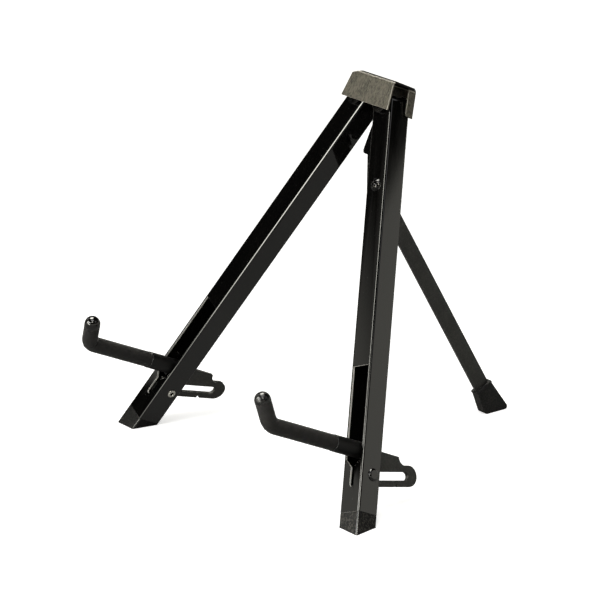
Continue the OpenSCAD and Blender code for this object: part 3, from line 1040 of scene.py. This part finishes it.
@dataclass
class Leg(Assembly):
    """One leg: tube, shoe, slot rivet and bush, and the right leg's buffer."""

    side: Side
    slot_edge: float = 0.3
    shoe_edge: float = 0.5
    rivet_head_d: float = 9.8
    rivet_head_h: float = 1.6
    rivet_d: float = 4.0
    tube_side: float = 20.0
    lip_d: float = 6.6
    lip_h: float = 1.3
    bore_d: float = 2.8
    bore_play: float = 0.02
    bore_depth: float = 2.4
    tube_wall: float = 1.5
    window_w: float = 15.2
    window_play: float = 0.1
    corner_share: float = 0.25
    small_edge: float = 0.2
    screw_edge: float = 0.15

    def build(self) -> None:
        """Dresses the leg's nodes and models its rivet."""
        axes = STANCE.leg(self.side)
        word = self.side.word
        middle = axes.transposed() @ box_middle(f"{word}_slot_rivet") / MM
        half = self.tube_side / 2

        def cut_face(place: Vector, normal: Vector) -> bool:
            """Whether a face was cut through the front or the rear wall.

            Args:
                place: its middle in the leg's axes, in millimetres.
                normal: its normal in the leg's axes.

            Returns:
                True for a face of the window or of the slot.
            """
            depth = abs(place.z - middle.z - RIVET_BACK)
            within = abs(place.x - middle.x) < self.window_w / 2 + self.window_play
            in_wall = half - self.tube_wall < depth < half
            return in_wall and within and abs(normal.z) < BESIDE

        def upright_corner(place: Vector, normal: Vector) -> bool:
            """Whether a face belongs to one of the shoe's rounded upright corners."""
            return min(abs(normal.x), abs(normal.z)) > self.corner_share

        # The window's cut faces take the near-white finish: bare steel with a painted
        # highlight.
        self.dress(
            f"{word}_leg_tube",
            TUBE_ENAMEL,
            axes,
            self.slot_edge,
            accent=CUT_EDGE_HIGHLIGHT,
            accented=cut_face,
        )
        right = self.side is Side.RIGHT
        # The left shoe takes the darker copy of the rubber, painted as shade.
        self.dress(
            f"{word}_foot_shoe",
            FOOT_RUBBER if right else DARK_FOOT_RUBBER,
            axes,
            self.shoe_edge,
            SOFT_ROUNDS,
            accent=RUBBER_EDGE,
            accented=upright_corner,
        )
        self.dress(f"{word}_slot_bush", COLLAR_PLASTIC, axes, self.small_edge)
        self.rivet(axes)
        if right:
            self.dress("buffer_screw", BLACK_OXIDE, axes, self.screw_edge)
            self.dress("rear_buffer", BOOT_RUBBER, axes, self.small_edge)

    def rivet(self, axes: Matrix) -> None:
        """Models the semi-tubular rivet: its head outside, its rolled lip inside.

        Args:
            axes: the leg's axes.
        """
        node = f"{self.side.word}_slot_rivet"
        piece = turned_piece(f"{self.side.word}_tubular_rivet", self.rivet_outline())
        smooth()
        bore = self.bore_d / 2 + self.bore_play
        for face in piece.data.polygons:
            place = face.center / MM
            rolled = place.z < -self.tube_side / 2 and place.xy.length > bore
            face.material_index = int(rolled)
        outward, up = axes.col[0] * self.side.value, axes.col[1]
        settle(piece, columns(up, outward.cross(up), outward), box_middle(node))
        self.place(piece, RIVET_ENAMEL, f"{self.side.word}_leg", axes, node)
        piece.data.materials.append(ROLLED_STEEL.make(axes))
        for face in piece.data.polygons:
            face.use_smooth = face.use_smooth and face.normal.dot(outward) < SQUARE

    def rivet_outline(self) -> list[tuple[float, float]]:
        """Outline of the rivet from its rolled end to its flat head.

        Returns:
            Radius and height of each step, in metres from the leg's middle.
        """
        half = self.tube_side / 2
        rim, lip, bore = self.rivet_head_d / 2, self.lip_d / 2, self.bore_d / 2
        crown, top = half + self.lip_h, half + self.rivet_head_h
        # The bore from its bottom, the lip's crown and back, and the shank.
        rolled = [
            (bore * 0.3, crown - self.bore_depth),
            (bore * 0.9, crown - self.bore_depth + 0.1),
            (bore, crown - 0.5),
            (bore + 0.12, crown - 0.2),
            (bore + 0.4, crown),
            (lip - 0.75, crown - 0.02),
            (lip - 0.3, crown - 0.25),
            (lip, crown - 0.7),
            (lip - 0.1, half + 0.2),
            (lip - 0.5, half),
            (self.rivet_d / 2, half),
        ]
        # The shank, the head's underside, its round shoulder and its flat top.
        head = [
            (self.rivet_d / 2, half),
            (rim - 0.15, half),
            (rim, half + 0.25),
            (rim * 0.97, half + self.rivet_head_h * 0.45),
            (rim * 0.88, half + self.rivet_head_h * 0.76),
            (rim * 0.78, top - 0.09),
            (rim * 0.7, top),
            (POLE_R, top),
        ]
        ends = [(radius, -height) for radius, height in rolled] + head
        return [(radius * MM, height * MM) for radius, height in ends]


@dataclass
class RearLeg(Assembly):
    """Flat rear bar and its moulded boot."""

    bar_edge: float = 0.4
    boot_width: float = 8.0
    sole_length: float = 26.0
    sole_shift: float = 0.2
    heel_trim: float = 2.4
    toe_r: float = 3.0
    heel_r: float = 5.5
    boot_length: float = 28.0
    rim_width: float = 16.4
    rim_height: float = 2.0
    rim_lip: float = 0.3
    bar_width: float = 13.6
    bar_thick: float = 3.0
    rubber_floor: float = 6.0
    edge_r: float = 0.9
    edge_rounds: int = 4
    edge_turn: float = 31
    sole_rounds: int = 6
    play: float = 0.1

    def build(self) -> None:
        """Dresses the bar and models the boot."""
        axes = STANCE.rear_bar
        self.dress("rear_bar", BAR_COAT, axes, self.bar_edge)
        self.boot(axes)

    def boot(self, axes: Matrix) -> None:
        """Models the boot: lofted from its sole to its rim, lipped and socketed.

        Args:
            axes: the rear bar's axes.
        """
        low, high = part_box("rear_boot")
        middle = (low.x + high.x) / 2
        heel = high.y + self.heel_trim * MM
        sole = Vector((middle, heel - self.sole_length / 2 * MM, 0))
        foot = sole - mm(0, self.sole_shift, 0)
        up = axes.col[1]
        neck = foot + up * (self.boot_length - self.rim_height) * MM
        rim = foot + up * self.boot_length * MM
        deselect_all()
        bpy.ops.mesh.primitive_plane_add(size=MM, location=sole)
        boot = bpy.context.object
        boot.name = boot.data.name = "moulded_boot"
        apply_place()
        bpy.ops.object.mode_set(mode="EDIT")
        bpy.ops.mesh.select_all(action="SELECT")
        stretch((self.boot_width, self.sole_length, 1), sole)
        extrude_ring(neck - sole)
        neck_width = self.rim_width - 2 * self.rim_lip
        stretch((1, neck_width / self.sole_length, 1), neck)
        bpy.ops.transform.rotate(
            value=-(STANCE.bar_open - STANCE.lean),
            orient_axis="X",
            center_override=neck,
        )
        self.lip(neck, up)
        self.socket(rim, up)
        self.round_sole(boot, sole)
        finish_mesh()
        ease(
            boot, "moulded_edges", self.edge_r, self.edge_rounds, self.edge_turn
        )
        apply_modifiers(boot)
        smooth()
        self.place(boot, BOOT_RUBBER, "rear_leg", axes, "rear_boot")

    def lip(self, neck: Vector, up: Vector) -> None:
        """Steps the neck out to the rim and raises the rim.

        Args:
            neck: the middle of the selected ring.
            up: the direction up the bar.
        """
        wide = 1 + 2 * self.rim_lip / self.boot_width
        deep = self.rim_width / (self.rim_width - 2 * self.rim_lip)
        extrude_ring((0, 0, 0))
        stretch((wide, deep, deep), neck)
        extrude_ring(up * self.rim_height * MM)

    def socket(self, rim: Vector, up: Vector) -> None:
        """Sinks the mouth that the bar fills.

        Args:
            rim: the middle of the rim, whose ring is selected.
            up: the direction up the bar.
        """
        rim_x = self.boot_width + 2 * self.rim_lip
        thick = (self.bar_thick + self.play) / rim_x
        width = (self.bar_width + self.play) / self.rim_width
        extrude_ring((0, 0, 0))
        stretch((thick, width, width), rim)
        extrude_ring(-up * (self.boot_length - self.rubber_floor) * MM)

    def round_sole(self, boot: Object, sole: Vector) -> None:
        """Rounds the toe and the heel of the sole.

        Args:
            boot: the boot's object, in edit mode.
            sole: the middle of the sole.
        """
        for sign, radius in ((-1, self.toe_r), (1, self.heel_r)):
            select_vertices(
                boot,
                lambda place: place.z < FLOOR_REACH and sign * (place.y - sole.y) > 0,
            )
            bpy.ops.mesh.bevel(
                offset=radius * MM,
                offset_type="OFFSET",
                segments=self.sole_rounds,
                affect="EDGES",
            )


@dataclass
class Arm(Assembly):
    """One arm: rod, slotted plate, collar, foam sleeve and end cap."""

    side: Side
    hard_edge: float = 0.3
    collar_edge: float = 0.5
    rise: float = 18.4
    turn_forward: float = 9.25
    reach: float = 95.0
    tip_lean: float = math.radians(28)
    tip_length: float = 25.5
    bend_r: float = 9.1
    pad_d: float = 12.6
    rod_d: float = 8.0
    sleeve_start: float = 32.2
    sleeve_play: float = 0.05
    sleeve_end_r: float = 0.6
    soft_turn: float = 50
    bend_steps: int = 18
    cap_wall: float = 2.6
    cap_straight: float = 0.75
    cap_dome: float = 6.0
    cap_fullness: float = 2.1
    cap_steps: int = 14
    cap_pole: float = 0.6
    cap_socket: float = 2.0
    ring_step: float = 1.1
    around: int = 56
    skin_wander: float = 0.16
    skin_scale: float = 9.0
    crease_depth: float = 0.5
    crease_half: float = 0.5
    crease_lip: float = 0.25
    crease_inner: float = 2.0
    crease_outer: float = -0.55

    def build(self) -> None:
        """Dresses the arm's hard pieces and models its sleeve and cap."""
        axes = STANCE.arm(self.side)
        word = self.side.word
        for part in ("rod", "plate"):
            self.dress(f"{word}_arm_{part}", BAR_COAT, axes, self.hard_edge)
        self.dress(
            f"{word}_arm_collar",
            COLLAR_PLASTIC,
            axes,
            self.collar_edge,
            SOFT_ROUNDS,
            rim=COLLAR_RIM,
        )
        self.sleeve(axes)
        self.cap(axes)

    @property
    def side_axes(self) -> Matrix:
        """Side view of the arm: forward, up the leg, and toward the left."""
        axes = STANCE.arm(self.side)
        return columns(axes.col[2], axes.col[1], -axes.col[0])

    @property
    def axis_point(self) -> Vector:
        """Point of the arm's axis that lies over the leg's own axis.

        Returns:
            The point, in metres.
        """
        leg = STANCE.leg(self.side)
        turn = (
            box_middle(f"{self.side.word}_slot_rivet")
            + leg.col[2] * (RIVET_BACK + self.turn_forward) * MM
            + leg.col[1] * self.rise * MM
        )
        return turn - STANCE.arm(self.side).col[2] * self.turn_forward * MM

    @property
    def tip_turn(self) -> float:
        """Angle through which the rod is bent."""
        return math.pi / 2 - self.tip_lean

    @property
    def bend_run(self) -> float:
        """Length that the bend takes from the arm and from its tip."""
        return self.bend_r * math.tan(self.tip_turn / 2)

    def sleeve(self, axes: Matrix) -> None:
        """Models the foam sleeve: extruded, spun round the bend and given its wall.

        Args:
            axes: the arm's axes.
        """
        name = f"{self.side.word}_foam_sleeve"
        radius = self.pad_d / 2 * MM
        sleeve = start_ring(name, radius, 0, self.around)
        bpy.ops.transform.rotate(
            value=math.pi / 2, orient_axis="Y", center_override=(0, 0, 0)
        )
        bpy.ops.transform.translate(value=(self.sleeve_start * MM, 0, 0))
        self.run((1, 0, 0), self.reach - self.bend_run - self.sleeve_start)
        bpy.ops.mesh.spin(
            steps=self.bend_steps,
            angle=-self.tip_turn,
            center=((self.reach - self.bend_run) * MM, self.bend_r * MM, 0),
            axis=(0, 0, 1),
        )
        tip = (math.sin(self.tip_lean), math.cos(self.tip_lean), 0)
        cap_start = self.tip_length - self.cap_wall - self.cap_dome
        self.run(tip, cap_start - self.bend_run)
        self.crease(sleeve)
        finish_mesh()
        self.open_ends(sleeve)
        self.thicken(sleeve)
        smooth(self.soft_turn)
        settle(sleeve, self.side_axes, self.axis_point)
        word = self.side.word
        self.place(sleeve, SLEEVE_FOAM, f"{word}_arm", axes, f"{word}_arm_sleeve")

    def run(self, way: Sequence[float], length: float) -> None:
        """Extrudes the selected ring straight on, in short steps.

        Args:
            way: where it goes, as a unit vector.
            length: how far it goes, in millimetres.
        """
        steps = max(1, round(length / self.ring_step))
        step = Vector(way) * (length / steps * MM)
        for _ in range(steps):
            extrude_ring(step)

    def crease(self, sleeve: Object) -> None:
        """Presses the foam's fold in the inside of the bend and raises its lips.

        Args:
            sleeve: the sleeve's object, in edit mode.
        """
        corner = mm(self.reach, 0, 0)
        fold = Vector((-math.sin(self.tip_turn / 2), math.cos(self.tip_turn / 2), 0))
        along = Vector((fold.y, -fold.x, 0))
        inner, outer = self.crease_inner, self.crease_outer * self.pad_d
        bands = ((inner, math.inf, -self.crease_depth), (outer, inner, self.crease_lip))
        for start, end, move in bands:

            def in_band(place: Vector, start: float = start, end: float = end) -> bool:
                """Whether a point is at the bend's middle and in the band inward.

                Args:
                    place: the point.
                    start: how far inward of the corner the band starts.
                    end: how far inward it ends.

                Returns:
                    True for a point of the band.
                """
                offset = (place - corner) / MM
                near = abs(offset.dot(along)) < self.crease_half
                return near and start <= offset.dot(fold) < end

            select_vertices(sleeve, in_band)
            bpy.ops.transform.shrink_fatten(value=move * MM)

    def open_ends(self, sleeve: Object) -> None:
        """Deletes the two flat ends that closed the tube for its normals.

        Args:
            sleeve: the sleeve's object, in object mode.
        """
        bpy.ops.object.mode_set(mode="EDIT")
        bpy.ops.mesh.select_mode(type="FACE")
        bpy.ops.mesh.select_all(action="DESELECT")
        bpy.ops.object.mode_set(mode="OBJECT")
        for face in sleeve.data.polygons:
            face.select = len(face.vertices) == self.around
        bpy.ops.object.mode_set(mode="EDIT")
        bpy.ops.mesh.delete(type="ONLY_FACE")
        bpy.ops.object.mode_set(mode="OBJECT")

    def thicken(self, sleeve: Object) -> None:
        """Gives the foam its uneven skin, its wall and its rounded ends.

        Args:
            sleeve: the sleeve's object, the active one.
        """
        texture = bpy.data.textures.new(f"{sleeve.name}_skin", "CLOUDS")
        texture.noise_scale = self.skin_scale * MM
        wander = sleeve.modifiers.new("skin", "DISPLACE")
        wander.texture = texture
        wander.strength = self.skin_wander * MM
        wander.mid_level = 1.0
        wall = sleeve.modifiers.new("wall", "SOLIDIFY")
        wall.thickness = ((self.pad_d - self.rod_d) / 2 - self.sleeve_play) * MM
        wall.offset = -1
        ends = ease(sleeve, "ends", self.sleeve_end_r, SOFT_ROUNDS, self.soft_turn)
        ends.use_clamp_overlap = False
        apply_modifiers(sleeve)

    def cap(self, axes: Matrix) -> None:
        """Models the dipped cap: a short straight wall under a full dome.

        Args:
            axes: the arm's axes.
        """
        name = f"{self.side.word}_end_cap"
        radius, socket = self.pad_d / 2, self.rod_d / 2 + self.sleeve_play
        top, start = self.cap_wall + self.cap_dome, self.cap_wall * self.cap_straight
        # The socket for the rod, the cap's mouth and its straight wall.
        outline = [
            (POLE_R, self.cap_socket),
            (socket, self.cap_socket),
            (socket, 0.0),
            (radius - 0.35, 0.0),
            (radius - 0.1, 0.08),
            (radius, 0.35),
            (radius, start),
        ]
        # The dome, a little fuller than a round one.
        power = 2 / self.cap_fullness
        for step in range(1, self.cap_steps + 1):
            turn = step / (self.cap_steps + self.cap_pole) * math.pi / 2
            out, up = math.cos(turn) ** power, math.sin(turn) ** power
            outline.append((radius * out, start + (top - start) * up))
        outline.append((POLE_R, top))
        cap = turned_piece(name, [(r * MM, h * MM) for r, h in outline], self.around)
        smooth(self.soft_turn)
        forward, up, cross = self.side_axes.col
        tip = forward * math.sin(self.tip_lean) + up * math.cos(self.tip_lean)
        turned = columns(tip.cross(cross) * -1, cross, tip)
        base = self.tip_length - top
        corner = self.axis_point + forward * self.reach * MM
        settle(cap, turned, corner + tip * base * MM)
        word = self.side.word
        vinyl = DULL_VINYL if self.side is Side.RIGHT else CAP_VINYL
        self.place(cap, vinyl, f"{word}_arm", axes, f"{word}_arm_cap")


def direction(azimuth: float, elevation: float) -> Vector:
    """Unit vector from the stand to a place around it.

    Args:
        azimuth: 0 for -Y and 90 for +X, in degrees.
        elevation: the angle over the floor, in degrees.

    Returns:
        The vector.
    """
    turn, rise = math.radians(azimuth), math.radians(elevation)
    return Vector(
        (
            math.sin(turn) * math.cos(rise),
            -math.cos(turn) * math.cos(rise),
            math.sin(rise),
        )
    )


@dataclass(frozen=True)
class Softbox:
    """A soft lamp on a ball around the stand: angles in degrees, sizes in metres."""

    name: str
    azimuth: float
    elevation: float
    distance: float
    width: float
    height: float
    radiance: float

    def make(self, target: Vector) -> None:
        """Adds the lamp, turned to the target.

        Args:
            target: the point that it lights.
        """
        lamp = bpy.data.lights.new(self.name, "AREA")
        lamp.shape = "RECTANGLE"
        lamp.size = self.width
        lamp.size_y = self.height
        lamp.energy = self.radiance * math.pi * self.width * self.height
        obj = bpy.data.objects.new(self.name, lamp)
        back = direction(self.azimuth, self.elevation)
        obj.location = target + back * self.distance
        obj.rotation_euler = (-back).to_track_quat("-Z", "Y").to_euler()
        bpy.context.scene.collection.objects.link(obj)


@dataclass(frozen=True)
class MirrorStrip:
    """A bright strip of the world that only glossy surfaces show, in degrees.

    Its lower and upper edge each run from an elevation where the level is 0 to one
    where it is full. They rise by the slope with the azimuth.
    """

    start: float
    end: float
    slope: float
    lower: tuple[float, float]
    upper: tuple[float, float]
    level: float
    side_fade: float = 3.0


@dataclass
class Studio:
    """Pale floor, plain soft lamps, and the camera at the photograph's angle."""

    azimuth: float = 52.0316
    elevation: float = 18.4426
    distance: float = 2.83339
    focal_px: float = 3799.47
    roll: float = math.radians(0.19915)
    target: Vector = field(default_factory=lambda: mm(70.177, -93.5307, 160.101))
    sight: float = 50
    floor_r: float = 3.0
    floor_sides: int = 64
    floor_colour: str = "#b4b4b2"
    floor_glow: float = 0.58
    fill: float = 0.32
    tint: str = "#fffdf2"
    lamps: tuple[Softbox, ...] = (
        Softbox("overhead_softbox", 40, 74, 2.0, 1.1, 0.9, 4.6),
        Softbox("front_softbox", -2, 26, 2.2, 1.0, 0.5, 16.0),
        Softbox("side_softbox", 118, 38, 2.2, 0.9, 0.7, 1.1),
        Softbox("left_softbox", -75, 30, 2.2, 0.6, 0.6, 2.0),
    )
    wall_top: float = 10.5
    edge_fade: float = 0.3
    flag: tuple[float, float] = (-75.0, -50.9)
    flag_fade: float = 4.0
    reflector: tuple[float, float] = (-48.6, -20.0)
    reflector_fade: float = 20.0
    reflector_top: tuple[float, float] = (30.0, 24.0)
    reflector_level: float = 0.8
    strips: tuple[MirrorStrip, ...] = (
        MirrorStrip(-34, 20, -0.35, (1.0, 7.5), (12.0, 10.0), 24.0),
        MirrorStrip(43, 60, 0.0, (37.0, 40.0), (47.6, 44.0), 34.0),
        MirrorStrip(-150, -70, 0.0, (56.0, 60.0), (82.0, 79.0), 24.0),
        MirrorStrip(-36, -18, 0.0, (22.0, 24.0), (36.0, 34.0), 22.0),
    )

    def build(self) -> None:
        """Adds the camera, the floor, the world and the lamps."""
        self.camera()
        self.floor()
        self.world()
        for lamp in self.lamps:
            lamp.make(self.target)
        bpy.context.scene.view_settings.view_transform = "Standard"

    def camera(self) -> None:
        """Adds the camera where the photograph was taken from."""
        back = direction(self.azimuth, self.elevation)
        turn = math.radians(self.azimuth)
        level = Vector((math.cos(turn), math.sin(turn), 0))
        up = back.cross(level)
        right = level * math.cos(self.roll) + up * math.sin(self.roll)
        top = back.cross(right)
        lens = bpy.data.cameras.new("camera")
        lens.sensor_width = SENSOR_MM
        lens.lens = self.focal_px / PHOTO_PIXELS * SENSOR_MM
        lens.clip_end = self.sight
        camera = bpy.data.objects.new("camera", lens)
        place = Matrix.Translation(self.target + back * self.distance)
        camera.matrix_world = place @ columns(right, top, back).to_4x4()
        bpy.context.scene.collection.objects.link(camera)
        bpy.context.scene.camera = camera

    def floor(self) -> None:
        """Adds the pale floor, which shows white to the camera but for the shadow."""
        deselect_all()
        bpy.ops.mesh.primitive_circle_add(
            vertices=self.floor_sides, radius=self.floor_r, fill_type="NGON"
        )
        floor = bpy.context.object
        floor.name = "studio_floor"
        material = bpy.data.materials.new("studio_floor_paper")
        tree = fresh_tree(material)
        ray = add_node(tree, "ShaderNodeLightPath")
        paper, white = (
            add_node(tree, "ShaderNodeBsdfDiffuse", {"Color": linear_colour(code)})
            for code in (self.floor_colour, "#ffffff")
        )
        glow = add_node(tree, "ShaderNodeEmission", {"Strength": self.floor_glow})
        lifted = add_node(
            tree, "ShaderNodeAddShader", links={0: white.outputs[0], 1: glow.outputs[0]}
        )
        shown = add_node(
            tree,
            "ShaderNodeMixShader",
            links={
                0: ray.outputs["Is Camera Ray"],
                1: paper.outputs[0],
                2: lifted.outputs[0],
            },
        )
        add_node(
            tree, "ShaderNodeOutputMaterial", links={"Surface": shown.outputs[0]}
        )
        floor.data.materials.append(material)

    def world(self) -> None:
        """Sets the world: a soft fill, and what a glossy surface mirrors.

        That is the white backdrop low down all round, dark above it, with a black
        flag in the front left corner and a soft-edged reflector beside the flag.
        """
        world = bpy.data.worlds.new("studio")
        bpy.context.scene.world = world
        tree = fresh_tree(world)
        ray = add_node(tree, "ShaderNodeLightPath")
        level = add_node(
            tree,
            "ShaderNodeMix",
            {"data_type": "FLOAT", 2: self.fill},
            {0: ray.outputs["Is Glossy Ray"], 3: self.mirrored(tree)},
        )
        seen = ray.outputs["Is Camera Ray"]
        through = ray.outputs["Is Transmission Ray"]
        plain = computed(tree, "MAXIMUM", seen, through)
        strength = computed(tree, "MAXIMUM", level.outputs[0], plain)
        background = add_node(
            tree,
            "ShaderNodeBackground",
            links={
                "Color": mixed(tree, plain, self.tint, "#ffffff"),
                "Strength": strength,
            },
        )
        add_node(tree, "ShaderNodeOutputWorld", links={0: background.outputs[0]})

    def mirrored(self, tree: Tree) -> Socket:
        """Brightness that a glossy surface mirrors, by the direction around it.

        Args:
            tree: the world's node tree.

        Returns:
            The brightness's output.
        """
        sight = add_node(tree, "ShaderNodeTexCoord")
        parts = add_node(
            tree, "ShaderNodeSeparateXYZ", links={0: sight.outputs["Generated"]}
        )
        x, y, z = parts.outputs
        turn = computed(tree, "ARCTAN2", x, computed(tree, "MULTIPLY", y, -1.0))
        rise = computed(tree, "ARCSINE", z)
        low, high = self.flag
        near, far = self.reflector
        fade = self.edge_fade
        wall = self.faded(tree, rise, self.wall_top + fade, self.wall_top - fade)
        left = self.faded(tree, turn, low, low - self.flag_fade)
        right = self.faded(tree, turn, high - fade, high + fade)
        clear = computed(tree, "MAXIMUM", left, right)
        begun = self.faded(tree, turn, high, near, self.reflector_level)
        ended = self.faded(tree, turn, far + self.reflector_fade, far)
        under = self.faded(tree, rise, *self.reflector_top)
        across = computed(tree, "MULTIPLY", begun, ended)
        level = computed(
            tree,
            "MAXIMUM",
            computed(tree, "MULTIPLY", wall, clear),
            computed(tree, "MULTIPLY", across, under),
        )
        for strip in self.strips:
            shown = self.strip_level(tree, turn, rise, strip)
            level = computed(tree, "MAXIMUM", level, shown)
        return level

    def strip_level(
        self, tree: Tree, turn: Socket, rise: Socket, strip: MirrorStrip
    ) -> Socket:
        """Brightness of one strip by azimuth and elevation.

        Args:
            tree: the world's node tree.
            turn: the azimuth, in radians.
            rise: the elevation, in radians.
            strip: the strip.

        Returns:
            The brightness's output.
        """
        offset = computed(tree, "MULTIPLY_ADD", turn, -strip.slope, rise)
        fade = strip.side_fade
        left = self.faded(tree, turn, strip.start, strip.start + fade)
        right = self.faded(tree, turn, strip.end, strip.end - fade)
        lower = self.faded(tree, offset, *strip.lower, strip.level)
        upper = self.faded(tree, offset, *strip.upper)
        across = computed(tree, "MULTIPLY", left, right)
        along = computed(tree, "MULTIPLY", lower, upper)
        return computed(tree, "MULTIPLY", across, along)

    def faded(
        self, tree: Tree, angle: Socket, start: float, end: float, level: float = 1.0
    ) -> Socket:
        """Soft edge across an angle.

        Args:
            tree: the world's node tree.
            angle: the angle, in radians.
            start: where the level is still 0, in degrees.
            end: where it is full, in degrees.
            level: the full level.

        Returns:
            The level's output.
        """
        ends = math.radians(start), math.radians(end)
        return ranged(tree, angle, *ends, 0.0, level, soft=True)


def clear_startup(keep: Iterable[Object]) -> None:
    """Removes Blender's startup objects.

    Args:
        keep: the objects of the frame.
    """
    kept = set(keep)
    for obj in list(bpy.data.objects):
        if obj not in kept:
            bpy.data.objects.remove(obj)


def main() -> None:
    """Builds the stand in its studio."""
    logging.basicConfig(level=logging.INFO, format="%(name)s: %(message)s")
    clear_startup([*frame["bodies"].values(), *frame["nodes"].values()])
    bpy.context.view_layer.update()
    Studio().build()
    Head().build()
    for side in Side:
        Leg(side).build()
    RearLeg().build()
    for side in Side:
        Arm(side).build()
    deselect_all()
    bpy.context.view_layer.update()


if __name__ == "__main__":
    main()
